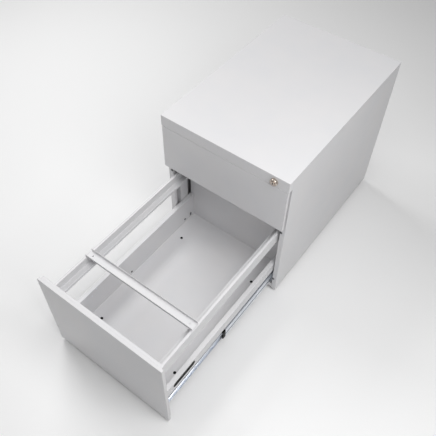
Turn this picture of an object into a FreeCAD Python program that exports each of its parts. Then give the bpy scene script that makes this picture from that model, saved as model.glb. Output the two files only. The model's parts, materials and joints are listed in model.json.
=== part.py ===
import FreeCAD, Part
import os
import Sketcher

# Steel under-desk filing cabinet: a folded-sheet carcass with a box drawer above a filing
# drawer, both on ball-bearing runners. The filing drawer stands fully open and the box
# drawer is shut. The origin is on the floor under the middle of the carcass, +X is to the
# right of a person facing the fronts, +Y runs from the fronts to the back, +Z is up.

# Driving dimensions in millimetres: alias and value of each cell.
DIMENSIONS = (
    # carcass
    ("cabinet_width", 400), ("cabinet_depth", 600), ("body_height", 490), ("foot_gap", 12),
    ("steel", 1), ("lip_height", 35), ("lip_return", 16), ("stile_set_back", 17.5),
    ("stile_width", 15.5), ("stile_return", 10), ("rear_return", 16), ("back_flange", 14),
    ("plinth_height", 20), ("divider_height", 24), ("divider_drop", 16), ("divider_depth", 20),
    ("post_face", 181.7), ("post_width", 34), ("post_flange", 7), ("post_top_gap", 6),
    ("front_post_start", 43), ("rear_post_start", 484),
    ("ballast_width", 280), ("ballast_depth", 120), ("ballast_height", 12), ("ballast_gap", 20),
    # drawer fronts
    ("lip_gap", 1), ("front_gap", 2), ("front_inset", 1.5), ("skin_depth", 8),
    ("front_thickness", 16), ("grip_inset", 6), ("upper_front_height", 150),
    ("lower_front_height", 304),
    # drawer boxes
    ("floor_rise", 28), ("side_inner", 168), ("side_outer", 181), ("side_height", 93),
    ("side_skirt", 37), ("side_hem", 8), ("side_ledge", 12), ("box_end", 568),
    ("slip", 0.1), ("back_upper_half", 178.5), ("back_edge", 12), ("file_back_rise", 236.5),
    ("drawer_travel", 481),
    ("slot_start", 48), ("slot_length", 86), ("slot_radius", 9.5), ("slot_rise", 79),
    ("cover_proud", 0.3), ("floor_hole_x", 135), ("floor_hole_front", 102),
    ("floor_hole_rear", 463), ("floor_hole_radius", 3.5),
    ("corner_slot_start", 548), ("corner_slot_width", 7), ("corner_slot_height", 14),
    ("corner_slot_rise", 4), ("lug_start", 36), ("lug_length", 6), ("lug_rise", 66),
    ("lug_height", 9), ("lug_reach", 2.5),
    # file rails and crossbar
    ("rail_outer", 178.5), ("rail_ridge", 7.5), ("rail_ledge", 156), ("rail_top_rise", 237.6),
    ("rail_web", 40.3), ("rail_step", 24), ("rail_lip", 9.5),
    ("bar_half_length", 175), ("bar_width", 24), ("bar_height", 10), ("bar_centre", 145.5),
    ("bar_clearance", 0.3), ("bar_tab_x", 168), ("bar_tab_drop", 13), ("bar_tab_width", 12),
    ("bar_hole_x", 160), ("bar_hole_radius", 2),
    # ball-bearing runners
    ("runner_steel", 1.2), ("runner_rise", 19), ("runner_start", 20), ("runner_length", 500),
    ("cabinet_half", 22.5), ("cabinet_reach", 10.5), ("middle_half", 17.4),
    ("middle_web", 2.2), ("middle_reach", 11), ("drawer_half", 12.3), ("drawer_reach", 4.4),
    ("runner_depth", 12.7), ("bumper_start", 19), ("bumper_length", 12), ("bumper_wall", 2),
    ("bumper_half", 18.2), ("bumper_web", 1.8), ("bumper_reach", 10.8),
    ("cage_length", 220), ("cage_steel", 0.5), ("outer_cage_start", 150),
    ("inner_cage_start", 156), ("outer_ball_row", 19.35), ("inner_ball_row", 14.25),
    ("outer_cage_web", 1.45), ("inner_cage_web", 3.65), ("cage_reach", 9.6),
    ("ball_radius", 1.6), ("ball_depth", 7), ("ball_pitch", 22), ("ball_margin", 11),
    ("groove_rise", 5), ("groove_height", 3), ("groove_margin", 30),
    # fasteners
    ("screw_radius", 2), ("screw_head_radius", 3.5), ("screw_head_height", 0.6),
    ("screw_length", 5), ("side_screw_rise", 12), ("side_screw_front", 60),
    ("side_screw_middle", 267), ("side_screw_rear", 522), ("screw_slip", 0.05),
    ("buffer_radius", 4), ("buffer_height", 1.2), ("buffer_x", 188), ("buffer_margin", 26),
    ("lowest_buffer_margin", 52),
    # feet
    ("foot_radius", 16), ("foot_height", 8), ("stem_radius", 4), ("stem_top", 32),
    ("nut_radius", 7.5), ("nut_height", 6), ("foot_x", 165), ("foot_margin", 45),
    # lock
    ("lock_x", 157), ("lock_drop", 18), ("lock_head_radius", 10.5), ("lock_head_length", 8),
    ("lock_body_radius", 8), ("lock_body_length", 22), ("lock_bore", 5.5),
    ("lock_nut_radius", 12), ("lock_nut_height", 4), ("plug_radius", 5.4),
    ("plug_proud", 0.6), ("plug_tail", 2), ("key_slot_width", 1.6), ("key_slot_height", 7),
    ("key_slot_depth", 12), ("cam_thickness", 2), ("cam_boss", 6.5), ("cam_throw", 10),
    ("cam_eye_radius", 4.8), ("cam_pin_radius", 2.4), ("cam_pin_length", 12),
    # lock bar
    ("bar_strip_inner", 187), ("bar_strip_outer", 196), ("bar_strip_start", 33),
    ("bar_strip_steel", 2), ("bar_strip_foot", 60), ("arm_inner", 141), ("arm_half", 9.5),
    ("window_inner", 151), ("window_outer", 174), ("window_half", 5.2),
    ("catch_inner", 182.2), ("catch_height", 6), ("catch_rise", 78),
    ("guide_inner", 185.2), ("guide_outer", 197.6), ("guide_start", 30),
    ("guide_height", 14), ("guide_slip", 0.5), ("lower_guide_rise", 160),
    ("upper_guide_rise", 330),
)

doc = FreeCAD.newDocument("filing_cabinet")
sheet = doc.addObject("Spreadsheet::Sheet", "Sizes")
nodes = []


class Size:
    """A length kept twice: as a spreadsheet expression and as its present value."""

    def __init__(self, text, value):
        self.text = text
        self.value = value

    def __add__(self, other):
        other = as_size(other)
        return Size(f"({self.text} + {other.text})", self.value + other.value)

    def __sub__(self, other):
        other = as_size(other)
        return Size(f"({self.text} - {other.text})", self.value - other.value)

    def __mul__(self, factor):
        return Size(f"({self.text} * {factor})", self.value * factor)

    def __truediv__(self, factor):
        return Size(f"({self.text} / {factor})", self.value / factor)

    def __neg__(self):
        return Size(f"(0 - {self.text})", -self.value)


def as_size(number):
    """Give a plain number the form of a size."""
    if isinstance(number, Size):
        return number
    return Size(f"({number})", float(number))


def fill_sheet():
    """Write the driving dimensions into the sheet and give each cell its alias."""
    for row, (alias, number) in enumerate(DIMENSIONS, start=1):
        sheet.set(f"A{row}", alias)
        sheet.set(f"B{row}", str(number))
        sheet.setAlias(f"B{row}", alias)
    doc.recompute()


class Cells:
    """Read a cell by its alias: cell.steel is the size in the cell named steel."""

    def __getattr__(self, alias):
        return Size(f"Sizes.{alias}", float(getattr(sheet, alias)))


fill_sheet()
cell = Cells()

# Planes and levels that several sub-parts share.
HALF = cell.cabinet_width / 2
FRONT = -cell.cabinet_depth / 2
BACK = cell.cabinet_depth / 2
STILE = FRONT + cell.stile_set_back
STEEL = cell.steel
BASE = cell.foot_gap
TOP = BASE + cell.body_height
LIP = TOP - cell.lip_height
UPPER_TOP = LIP - cell.lip_gap
UPPER_BOTTOM = UPPER_TOP - cell.upper_front_height
LOWER_TOP = UPPER_BOTTOM - cell.front_gap
LOWER_BOTTOM = LOWER_TOP - cell.lower_front_height
UPPER_FLOOR = UPPER_BOTTOM + cell.floor_rise
LOWER_FLOOR = LOWER_BOTTOM + cell.floor_rise
LOCK_Z = TOP - cell.lock_drop
# A tool that cuts through one sheet: it starts a sheet's thickness short and ends one beyond.
SPARE = STEEL
THROUGH = STEEL * 3
# How far each sliding part of a runner goes while its drawer goes the whole way.
MIDDLE_SHARE = 0.5
OUTER_CAGE_SHARE = 0.25
INNER_CAGE_SHARE = 0.75
SIDES = (("left", -1), ("right", 1))
# Each drawer: its name, the level of its floor and how far it stands open.
DRAWERS = (("lower", LOWER_FLOOR, cell.drawer_travel), ("upper", UPPER_FLOOR, as_size(0)))


# ---------------------------------------------------------------- building blocks

def bind(item, field, size):
    """Bind one field of an object to the sheet."""
    item.setExpression(field, as_size(size).text)


def place(item, x, y, z):
    """Bind an object's position to the sheet."""
    bind(item, "Placement.Base.x", x)
    bind(item, "Placement.Base.y", y)
    bind(item, "Placement.Base.z", z)


def span(side, inner, outer):
    """Low and high X of a span given by its distances from the middle plane."""
    if side > 0:
        return (as_size(inner), as_size(outer))
    return (-as_size(outer), -as_size(inner))


def block(name, x, y, z):
    """A rectangular block between pairs of planes."""
    item = doc.addObject("Part::Box", name)
    for field, (low, high) in zip(("Length", "Width", "Height"), (x, y, z)):
        bind(item, field, as_size(high) - low)
    place(item, x[0], y[0], z[0])
    return item


def rod(name, radius, start, length, axis="z"):
    """A cylinder from its start point along an axis."""
    item = doc.addObject("Part::Cylinder", name)
    bind(item, "Radius", radius)
    bind(item, "Height", length)
    turn = {"x": (0, 1, 0, 90), "y": (1, 0, 0, -90), "z": (0, 0, 1, 0)}[axis]
    item.Placement.Rotation = FreeCAD.Rotation(FreeCAD.Vector(*turn[:3]), turn[3])
    place(item, *start)
    return item


def cross_rod(name, radius, side, inner, outer, y, z):
    """A cylinder along X between two distances from the middle plane, on one side."""
    low, high = span(side, inner, outer)
    return rod(name, radius, (low, y, z), high - low, "x")


def hexagon(name, radius, start, height, axis="z"):
    """A six-sided prism from its start point along an axis."""
    item = doc.addObject("Part::Prism", name)
    item.Polygon = 6
    bind(item, "Circumradius", radius)
    bind(item, "Height", height)
    turn = {"y": (1, 0, 0, -90), "z": (0, 0, 1, 0)}[axis]
    item.Placement.Rotation = FreeCAD.Rotation(FreeCAD.Vector(*turn[:3]), turn[3])
    place(item, *start)
    return item


def joined(name, pieces):
    """Fuse pieces into one solid."""
    item = doc.addObject("Part::MultiFuse", name)
    item.Shapes = list(pieces)
    item.Refine = True
    return item


def grouped(name, pieces):
    """Keep separate solids together as one object."""
    item = doc.addObject("Part::Compound", name)
    item.Links = list(pieces)
    return item


def less(name, base, tools):
    """Cut tools out of a base."""
    item = doc.addObject("Part::Cut", name)
    item.Base = base
    item.Tool = tools[0] if len(tools) == 1 else grouped(f"{name}_tools", tools)
    return item


def node(item, label):
    """Name an object as a sub-part that is written to its own file."""
    item.Label = label
    nodes.append(item)
    return item


def sketch_outline(body, name, plane, outline):
    """Draw a closed outline on an origin plane, each corner bound to the sheet."""
    sketch = body.newObject("Sketcher::SketchObject", name)
    origin_planes = [item for item in body.Origin.OriginFeatures if item.Role == plane]
    sketch.AttachmentSupport = (origin_planes[0], [""])
    sketch.MapMode = "FlatFace"
    corners = [FreeCAD.Vector(across.value, up.value, 0) for across, up in outline]
    for index, corner in enumerate(corners):
        following = corners[(index + 1) % len(corners)]
        sketch.addGeometry(Part.LineSegment(corner, following), False)
    for index, (across, up) in enumerate(outline):
        following = (index + 1) % len(outline)
        sketch.addConstraint(Sketcher.Constraint("Coincident", index, 2, following, 1))
        for kind, size in (("DistanceX", across), ("DistanceY", up)):
            number = sketch.addConstraint(
                Sketcher.Constraint(kind, -1, 1, index, 1, size.value))
            sketch.setExpression(f"Constraints[{number}]", size.text)
    return sketch


def extrusion(name, plane, outline, start, length):
    """A body made by padding an outline from a start plane.

    plane is XY_Plane, XZ_Plane or YZ_Plane, and the pad runs towards +Z, +Y or +X.
    """
    body = doc.addObject("PartDesign::Body", name)
    sketch = sketch_outline(body, f"{name}_outline", plane, outline)
    pad = body.newObject("PartDesign::Pad", f"{name}_pad")
    pad.Profile = sketch
    pad.Reversed = plane == "XZ_Plane"
    bind(pad, "Length", length)
    sketch.Visibility = False
    field = {"XY_Plane": "z", "XZ_Plane": "y", "YZ_Plane": "x"}[plane]
    bind(body, f"Placement.Base.{field}", start)
    return body


def direction(first, second):
    """Unit step from one corner to the next of a path with square bends."""
    across = second[0].value - first[0].value
    up = second[1].value - first[1].value
    return ((across > 0) - (across < 0), (up > 0) - (up < 0))


def folded(path, thickness, left):
    """Outline of a sheet folded square along a path, thickened to one side of it."""
    turn = 1 if left else -1
    steps = [direction(first, second) for first, second in zip(path, path[1:])]
    normals = [(-up * turn, across * turn) for across, up in steps]
    inner = []
    for index, (across, up) in enumerate(path):
        touching = {normals[max(index - 1, 0)], normals[min(index, len(normals) - 1)]}
        for normal in touching:
            across = across + thickness * normal[0]
            up = up + thickness * normal[1]
        inner.append((across, up))
    return list(path) + inner[::-1]


def mirrored_path(path, side):
    """Mirror a path's first coordinate for the left-hand part."""
    return [(across * side, up) for across, up in path]


# ---------------------------------------------------------------- carcass

def make_side_panel(hand, side):
    """Side wall with a stile and return folded in front and a return at the back."""
    stile_edge = HALF - cell.stile_width
    path = [(stile_edge, STILE + cell.stile_return), (stile_edge, STILE), (HALF, STILE),
            (HALF, BACK), (HALF - cell.rear_return, BACK)]
    outline = folded(mirrored_path(path, side), STEEL, left=side > 0)
    low = BASE + STEEL
    panel = extrusion(f"{hand}_side_panel", "XY_Plane", outline, low, TOP - STEEL - low)
    node(panel, f"{hand}_side_panel")


def make_top_panel():
    """Top sheet with the deep front lip, its return, its closed ends and the lock hole."""
    path = [(FRONT + cell.lip_return, LIP), (FRONT, LIP), (FRONT, TOP), (BACK, TOP)]
    outline = folded(path, STEEL, left=False)
    pressing = extrusion("top_pressing", "YZ_Plane", outline, -HALF, cell.cabinet_width)
    ends = [block(f"lip_end_{hand}", span(side, HALF - STEEL, HALF),
                  (FRONT + STEEL, STILE), (LIP, TOP - STEEL)) for hand, side in SIDES]
    shell = joined("top_shell", [pressing] + ends)
    hole = rod("lock_hole", cell.lock_body_radius + cell.slip,
               (cell.lock_x, FRONT - SPARE, LOCK_Z), THROUGH, "y")
    node(less("top_panel", shell, [hole]), "top_panel")


def make_back_panel():
    """Back sheet behind the side walls' returns, flanged at the top and bottom."""
    plane = BACK - STEEL
    edge = plane - cell.back_flange
    low = BASE + STEEL
    high = TOP - STEEL
    outline = folded([(edge, high), (plane, high), (plane, low), (edge, low)],
                     STEEL, left=False)
    width = cell.cabinet_width - STEEL * 2
    node(extrusion("back_panel", "YZ_Plane", outline, STEEL - HALF, width), "back_panel")


def foot_places():
    """Centres of the four feet."""
    front_row = FRONT + cell.foot_margin
    rear_row = BACK - cell.foot_margin
    return [(cell.foot_x * side, row) for row in (front_row, rear_row) for _, side in SIDES]


def make_base_panel():
    """Base sheet with the plinth upstand between the stiles and holes for the feet."""
    floor = block("base_sheet", (-HALF, HALF), (STILE, BACK), (BASE, BASE + STEEL))
    stile_edge = HALF - cell.stile_width
    upstand = block("plinth", (-stile_edge, stile_edge), (STILE, STILE + STEEL),
                    (BASE + STEEL, BASE + cell.plinth_height))
    holes = [rod(f"stem_hole_{index}", cell.stem_radius + cell.slip,
                 (x, y, BASE - SPARE), THROUGH)
             for index, (x, y) in enumerate(foot_places())]
    node(less("base_panel", joined("base_pressing", [floor, upstand]), holes), "base_panel")


def make_divider_rail():
    """Channel across the opening behind the gap between the two fronts."""
    low = UPPER_BOTTOM - cell.divider_drop
    high = low + cell.divider_height
    edge = STILE + cell.divider_depth
    outline = folded([(edge, low), (STILE, low), (STILE, high), (edge, high)],
                     STEEL, left=False)
    stile_edge = HALF - cell.stile_width
    rail = extrusion("divider_rail", "YZ_Plane", outline, -stile_edge, stile_edge * 2)
    node(rail, "divider_rail")


def runner_level(floor):
    """Height of a runner's middle line."""
    return floor + cell.runner_rise


def post_screw_rods(hand, side, place_name, middle):
    """Shanks of the screws that hold the cabinet runners to one post."""
    inner = cell.post_face - cell.runner_steel
    return [cross_rod(f"{hand}_{place_name}_{drawer}_shank", cell.screw_radius, side,
                      inner, inner + cell.screw_length, middle, runner_level(floor))
            for drawer, floor, _ in DRAWERS]


def make_posts():
    """Hat-section posts on the side walls, and the screws that hold the runners to them."""
    low = BASE + STEEL
    height = TOP - cell.post_top_gap - low
    seat = HALF - STEEL * 2
    screws = []
    for hand, side in SIDES:
        for place_name, offset in (("front", cell.front_post_start),
                                   ("rear", cell.rear_post_start)):
            start = FRONT + offset
            end = start + cell.post_width
            path = [(seat, start - cell.post_flange), (seat, start), (cell.post_face, start),
                    (cell.post_face, end), (seat, end), (seat, end + cell.post_flange)]
            outline = folded(mirrored_path(path, side), STEEL, left=side < 0)
            name = f"{hand}_{place_name}_post"
            pressing = extrusion(f"{name}_pressing", "XY_Plane", outline, low, height)
            middle = start + cell.post_width / 2
            screws += post_screw_rods(hand, side, place_name, middle)
            holes = [cross_rod(f"{name}_hole_{drawer}", cell.screw_radius + cell.screw_slip,
                               side, cell.post_face - SPARE, cell.post_face + STEEL + SPARE,
                               middle, runner_level(floor))
                     for drawer, floor, _ in DRAWERS]
            node(less(name, pressing, holes), name)
    node(grouped("runner_screws", screws), "runner_screws")


def make_ballast():
    """Steel counterweight on the base at the back."""
    half = cell.ballast_width / 2
    rear = BACK - cell.ballast_gap
    low = BASE + STEEL
    weight = block("ballast_plate", (-half, half), (rear - cell.ballast_depth, rear),
                   (low, low + cell.ballast_height))
    node(weight, "ballast_plate")


def make_feet():
    """Four levelling feet with threaded stems, and the nuts that hold them."""
    feet = []
    nuts = []
    for index, (x, y) in enumerate(foot_places()):
        pad = rod(f"foot_pad_{index}", cell.foot_radius, (x, y, 0), cell.foot_height)
        stem = rod(f"foot_stem_{index}", cell.stem_radius, (x, y, cell.foot_height - STEEL),
                   cell.stem_top - cell.foot_height + STEEL)
        feet.append(joined(f"foot_{index}", [pad, stem]))
        low = BASE + STEEL
        blank = hexagon(f"nut_blank_{index}", cell.nut_radius, (x, y, low), cell.nut_height)
        bore = rod(f"nut_bore_{index}", cell.stem_radius + cell.screw_slip,
                   (x, y, low - SPARE), cell.nut_height + SPARE * 2)
        nuts.append(less(f"nut_{index}", blank, [bore]))
    node(grouped("levelling_feet", feet), "levelling_feet")
    node(grouped("foot_nuts", nuts), "foot_nuts")


def make_buffers():
    """Rubber discs on the stiles that the closed fronts come up to."""
    heights = [LOWER_BOTTOM + cell.lowest_buffer_margin, LOWER_TOP - cell.buffer_margin,
               UPPER_BOTTOM + cell.buffer_margin, UPPER_TOP - cell.buffer_margin]
    discs = [rod(f"buffer_{hand}_{index}", cell.buffer_radius,
                 (cell.buffer_x * side, STILE - cell.buffer_height, height),
                 cell.buffer_height, "y")
             for hand, side in SIDES for index, height in enumerate(heights)]
    node(grouped("front_buffers", discs), "front_buffers")


# ---------------------------------------------------------------- lock

def make_lock_housing():
    """Nickel lock body with its proud head, held in the lip by a nut."""
    head_start = FRONT - cell.lock_head_length
    whole = cell.lock_head_length + cell.lock_body_length
    head = rod("lock_head", cell.lock_head_radius, (cell.lock_x, head_start, LOCK_Z),
               cell.lock_head_length, "y")
    barrel = rod("lock_barrel", cell.lock_body_radius, (cell.lock_x, head_start, LOCK_Z),
                 whole, "y")
    bore = rod("lock_bore_tool", cell.lock_bore, (cell.lock_x, head_start - SPARE, LOCK_Z),
               whole + SPARE * 2, "y")
    housing = less("lock_housing", joined("lock_blank", [head, barrel]), [bore])
    node(housing, "lock_housing")
    nut = hexagon("lock_nut_blank", cell.lock_nut_radius,
                  (cell.lock_x, FRONT + STEEL, LOCK_Z), cell.lock_nut_height, "y")
    clear = rod("lock_nut_bore", cell.lock_body_radius + cell.screw_slip,
                (cell.lock_x, FRONT, LOCK_Z), cell.lock_nut_height + STEEL + SPARE, "y")
    node(less("lock_nut", nut, [clear]), "lock_nut")


def make_lock_plug():
    """Turning plug with its key slot, and the cam with its crank pin behind it."""
    start = FRONT - cell.lock_head_length - cell.plug_proud
    end = FRONT + cell.lock_body_length + cell.plug_tail
    plug = rod("plug_blank", cell.plug_radius, (cell.lock_x, start, LOCK_Z), end - start, "y")
    half_width = cell.key_slot_width / 2
    half_height = cell.key_slot_height / 2
    slot = block("key_slot", (cell.lock_x - half_width, cell.lock_x + half_width),
                 (start - SPARE, start + cell.key_slot_depth),
                 (LOCK_Z - half_height, LOCK_Z + half_height))
    node(less("lock_plug", plug, [slot]), "lock_plug")
    boss = rod("cam_boss", cell.cam_boss, (cell.lock_x, end, LOCK_Z), cell.cam_thickness, "y")
    pin_x = cell.lock_x + cell.cam_throw
    eye = rod("cam_eye", cell.cam_eye_radius, (pin_x, end, LOCK_Z), cell.cam_thickness, "y")
    arm = block("cam_arm", (cell.lock_x, pin_x), (end, end + cell.cam_thickness),
                (LOCK_Z - cell.cam_eye_radius, LOCK_Z + cell.cam_eye_radius))
    pin = rod("cam_pin", cell.cam_pin_radius, (pin_x, end, LOCK_Z), cell.cam_pin_length, "y")
    node(joined("lock_cam", [boss, eye, arm, pin]), "lock_cam")


def make_lock_bar():
    """Vertical strip with a windowed arm that the cam lifts, and a catch for each drawer."""
    start = FRONT + cell.bar_strip_start
    depth = (start, start + cell.bar_strip_steel)
    strip = block("bar_strip", (cell.bar_strip_inner, cell.bar_strip_outer), depth,
                  (BASE + cell.bar_strip_foot, LOCK_Z + cell.arm_half))
    arm = block("bar_arm", (cell.arm_inner, cell.bar_strip_outer), depth,
                (LOCK_Z - cell.arm_half, LOCK_Z + cell.arm_half))
    catches = [block(f"bar_catch_{drawer}", (cell.catch_inner, cell.bar_strip_outer), depth,
                     (floor + cell.catch_rise, floor + cell.catch_rise + cell.catch_height))
               for drawer, floor, _ in DRAWERS]
    window = block("bar_window", (cell.window_inner, cell.window_outer),
                   (start - SPARE, start + cell.bar_strip_steel + SPARE),
                   (LOCK_Z - cell.window_half, LOCK_Z + cell.window_half))
    bar = less("lock_bar", joined("bar_blank", [strip, arm] + catches), [window])
    node(bar, "lock_bar")


def make_lock_bar_guides():
    """Two moulded blocks on the right front post that the lock bar slides in."""
    guides = []
    slip = cell.guide_slip
    strip_start = FRONT + cell.bar_strip_start
    strip_end = strip_start + cell.bar_strip_steel
    for name, rise in (("low", cell.lower_guide_rise), ("high", cell.upper_guide_rise)):
        low = BASE + rise
        high = low + cell.guide_height
        body = block(f"guide_body_{name}", (cell.guide_inner, cell.guide_outer),
                     (FRONT + cell.guide_start, FRONT + cell.front_post_start), (low, high))
        channel = block(f"guide_channel_{name}",
                        (cell.bar_strip_inner - slip, cell.bar_strip_outer + slip),
                        (strip_start - slip, strip_end + slip), (low - SPARE, high + SPARE))
        guides.append(less(f"guide_{name}", body, [channel]))
    node(grouped("lock_bar_guides", guides), "lock_bar_guides")


# ---------------------------------------------------------------- drawer fronts

def tray(name, half, depth, z, open_to_back):
    """A shallow pressed tray that is padded solid and then pocketed from its open side."""
    body = doc.addObject("PartDesign::Body", name)
    outer = [(-half, z[0]), (half, z[0]), (half, z[1]), (-half, z[1])]
    inner = [(STEEL - half, z[0] + STEEL), (half - STEEL, z[0] + STEEL),
             (half - STEEL, z[1] - STEEL), (STEEL - half, z[1] - STEEL)]
    face = sketch_outline(body, f"{name}_face", "XZ_Plane", outer)
    pad = body.newObject("PartDesign::Pad", f"{name}_pad")
    pad.Profile = face
    pad.Reversed = True
    bind(pad, "Length", depth[1] - depth[0])
    recess = sketch_outline(body, f"{name}_recess", "XZ_Plane", inner)
    pocket = body.newObject("PartDesign::Pocket", f"{name}_pocket")
    pocket.Profile = recess
    pocket.Reversed = open_to_back
    if open_to_back:
        bind(recess, "AttachmentOffset.Base.z", depth[0] - depth[1])
    bind(pocket, "Length", depth[1] - depth[0] - STEEL)
    bind(body, "Placement.Base.y", depth[0])
    return body


def make_front(drawer, low, high, opening):
    """Front of a drawer: an outer tray, and an inner tray set in at both ends for grip."""
    face = FRONT - opening
    half = HALF - cell.front_inset
    skin = tray(f"{drawer}_front_skin", half, (face, face + cell.skin_depth), (low, high), True)
    node(skin, f"{drawer}_front_skin")
    liner = tray(f"{drawer}_front_liner", half - cell.grip_inset,
                 (face + cell.skin_depth, face + cell.front_thickness), (low, high), False)
    node(liner, f"{drawer}_front_liner")


# ---------------------------------------------------------------- drawer boxes

def side_screw_offsets():
    """Distances behind the front's face of the screws in a drawer side."""
    return (cell.side_screw_front, cell.side_screw_middle, cell.side_screw_rear)


def side_section(side, floor):
    """Section of a double-walled side, from its ledge up the inner wall and down the skirt."""
    inner = cell.side_inner
    outer = cell.side_outer
    edge = inner - cell.side_ledge
    hem = outer - cell.side_hem
    top = floor + cell.side_height
    skirt = top - cell.side_skirt
    ledge = floor - STEEL * 2
    outline = [(edge, ledge), (inner + STEEL, ledge), (inner + STEEL, top - STEEL),
               (outer - STEEL, top - STEEL), (outer - STEEL, skirt + STEEL),
               (hem, skirt + STEEL), (hem, skirt), (outer, skirt), (outer, top), (inner, top),
               (inner, ledge + STEEL), (edge, ledge + STEEL)]
    return mirrored_path(outline, side)


def make_drawer_side(drawer, hand, side, floor, opening):
    """Drawer side with its openings; the right-hand one has a lug that the lock bar stops."""
    name = f"{drawer}_{hand}_side"
    start = FRONT + cell.front_thickness - opening
    length = cell.box_end - cell.front_thickness + STEEL
    solid = extrusion(f"{name}_pressing", "XZ_Plane", side_section(side, floor), start, length)
    if side > 0:
        lug_y = FRONT + cell.lug_start - opening
        lug_z = floor + cell.lug_rise
        lug = block(f"{name}_lug", (cell.side_outer - STEEL, cell.side_outer + cell.lug_reach),
                    (lug_y, lug_y + cell.lug_length), (lug_z, lug_z + cell.lug_height))
        solid = joined(f"{name}_solid", [solid, lug])
    node(less(name, solid, side_openings(name, side, floor, opening)), name)


def oblong(name, side, radius, x, middle, length, opening):
    """Long slot shape along Y with round ends, between two distances from the middle."""
    start = FRONT + middle[0] - opening
    ends = [cross_rod(f"{name}_{end}", radius, side, *x, y, middle[1])
            for end, y in (("front", start + radius), ("rear", start + length - radius))]
    bar = block(f"{name}_bar", span(side, *x), (start + radius, start + length - radius),
                (middle[1] - radius, middle[1] + radius))
    return joined(name, ends + [bar])


def side_openings(name, side, floor, opening):
    """Holes in a drawer side: cover slot, screw holes and the slot at the rear corner."""
    slot = oblong(f"{name}_slot", side, cell.slot_radius,
                  (cell.side_outer - STEEL - SPARE, cell.side_outer + SPARE),
                  (cell.slot_start, floor + cell.slot_rise), cell.slot_length, opening)
    wall = (cell.side_inner - SPARE, cell.side_inner + STEEL + SPARE)
    screws = [cross_rod(f"{name}_screw_hole_{index}", cell.screw_radius + cell.screw_slip,
                        side, *wall, FRONT + offset - opening, floor + cell.side_screw_rise)
              for index, offset in enumerate(side_screw_offsets())]
    corner_y = FRONT + cell.corner_slot_start - opening
    corner_z = floor + cell.corner_slot_rise
    corner = block(f"{name}_corner_slot", span(side, *wall),
                   (corner_y, corner_y + cell.corner_slot_width),
                   (corner_z, corner_z + cell.corner_slot_height))
    return [slot, corner] + screws


def make_covers(drawer, floor, opening):
    """Black oblong covers in the slots of both drawer sides."""
    covers = [oblong(f"{drawer}_{hand}_cover", side, cell.slot_radius - cell.slip,
                     (cell.side_outer - STEEL, cell.side_outer + cell.cover_proud),
                     (cell.slot_start + cell.slip, floor + cell.slot_rise),
                     cell.slot_length - cell.slip * 2, opening) for hand, side in SIDES]
    node(grouped(f"{drawer}_slot_covers", covers), f"{drawer}_slot_covers")


def make_drawer_floor(drawer, floor, opening):
    """Floor sheet on the ledges of the sides, with its four round holes."""
    half = cell.side_inner - cell.slip
    start = FRONT - opening
    plate = block(f"{drawer}_floor_sheet", (-half, half),
                  (start + cell.front_thickness, start + cell.box_end), (floor - STEEL, floor))
    holes = [rod(f"{drawer}_floor_hole_{hand}_{row}", cell.floor_hole_radius,
                 (cell.floor_hole_x * side, start + offset, floor - STEEL - SPARE), THROUGH)
             for hand, side in SIDES
             for row, offset in (("front", cell.floor_hole_front),
                                 ("rear", cell.floor_hole_rear))]
    node(less(f"{drawer}_drawer_floor", plate, holes), f"{drawer}_drawer_floor")


def make_lower_back(floor, opening):
    """Tall back of the filing drawer, wider above the sides, with edges folded back."""
    narrow = cell.side_inner - cell.slip
    wide = cell.back_upper_half
    step = floor + cell.side_height + cell.slip
    top = floor + cell.file_back_rise
    low = floor - STEEL
    start = FRONT + cell.box_end - opening
    outline = [(-narrow, low), (narrow, low), (narrow, step), (wide, step), (wide, top),
               (-wide, top), (-wide, step), (-narrow, step)]
    web = extrusion("lower_back_web", "XZ_Plane", outline, start, STEEL)
    depth = (start + STEEL, start + cell.back_edge)
    edges = [block(f"lower_back_edge_{hand}", span(side, wide - STEEL, wide), depth,
                   (step, top)) for hand, side in SIDES]
    hem = block("lower_back_hem", (-wide, wide), depth, (top - STEEL, top))
    node(joined("lower_drawer_back", [web, hem] + edges), "lower_drawer_back")


def make_upper_back(floor, opening):
    """Back of the box drawer between its sides, with the top edge folded back."""
    half = cell.side_inner - cell.slip
    start = FRONT + cell.box_end - opening
    top = floor + cell.side_height
    web = block("upper_back_web", (-half, half), (start, start + STEEL), (floor - STEEL, top))
    hem = block("upper_back_hem", (-half, half), (start + STEEL, start + cell.back_edge),
                (top - STEEL, top))
    node(joined("upper_drawer_back", [web, hem]), "upper_drawer_back")


def make_drawer_screws(drawer, floor, opening):
    """Black low-head screws that hold the drawer runners to the drawer sides."""
    screws = []
    for hand, side in SIDES:
        wall = cell.side_inner
        for index, offset in enumerate(side_screw_offsets()):
            y = FRONT + offset - opening
            z = floor + cell.side_screw_rise
            head = cross_rod(f"{drawer}_{hand}_screw_head_{index}", cell.screw_head_radius,
                             side, wall - cell.screw_head_height, wall, y, z)
            shank = cross_rod(f"{drawer}_{hand}_screw_shank_{index}", cell.screw_radius,
                              side, wall, wall + STEEL + cell.runner_steel, y, z)
            screws.append(joined(f"{drawer}_{hand}_screw_{index}", [head, shank]))
    node(grouped(f"{drawer}_drawer_screws", screws), f"{drawer}_drawer_screws")


# ---------------------------------------------------------------- file rails

def make_file_rail(hand, side, floor, opening):
    """Stepped rail that suspension files hang from, between the front and the back."""
    top = floor + cell.rail_top_rise
    ridge = cell.rail_outer - cell.rail_ridge
    shelf = top - cell.rail_step
    path = [(cell.rail_outer, top - cell.rail_web), (cell.rail_outer, top), (ridge, top),
            (ridge, shelf), (cell.rail_ledge, shelf), (cell.rail_ledge, shelf - cell.rail_lip)]
    outline = folded(mirrored_path(path, side), STEEL, left=side > 0)
    start = FRONT + cell.front_thickness - opening
    length = cell.box_end - cell.front_thickness
    rail = extrusion(f"{hand}_file_rail", "XZ_Plane", outline, start, length)
    node(rail, f"{hand}_file_rail")


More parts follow.
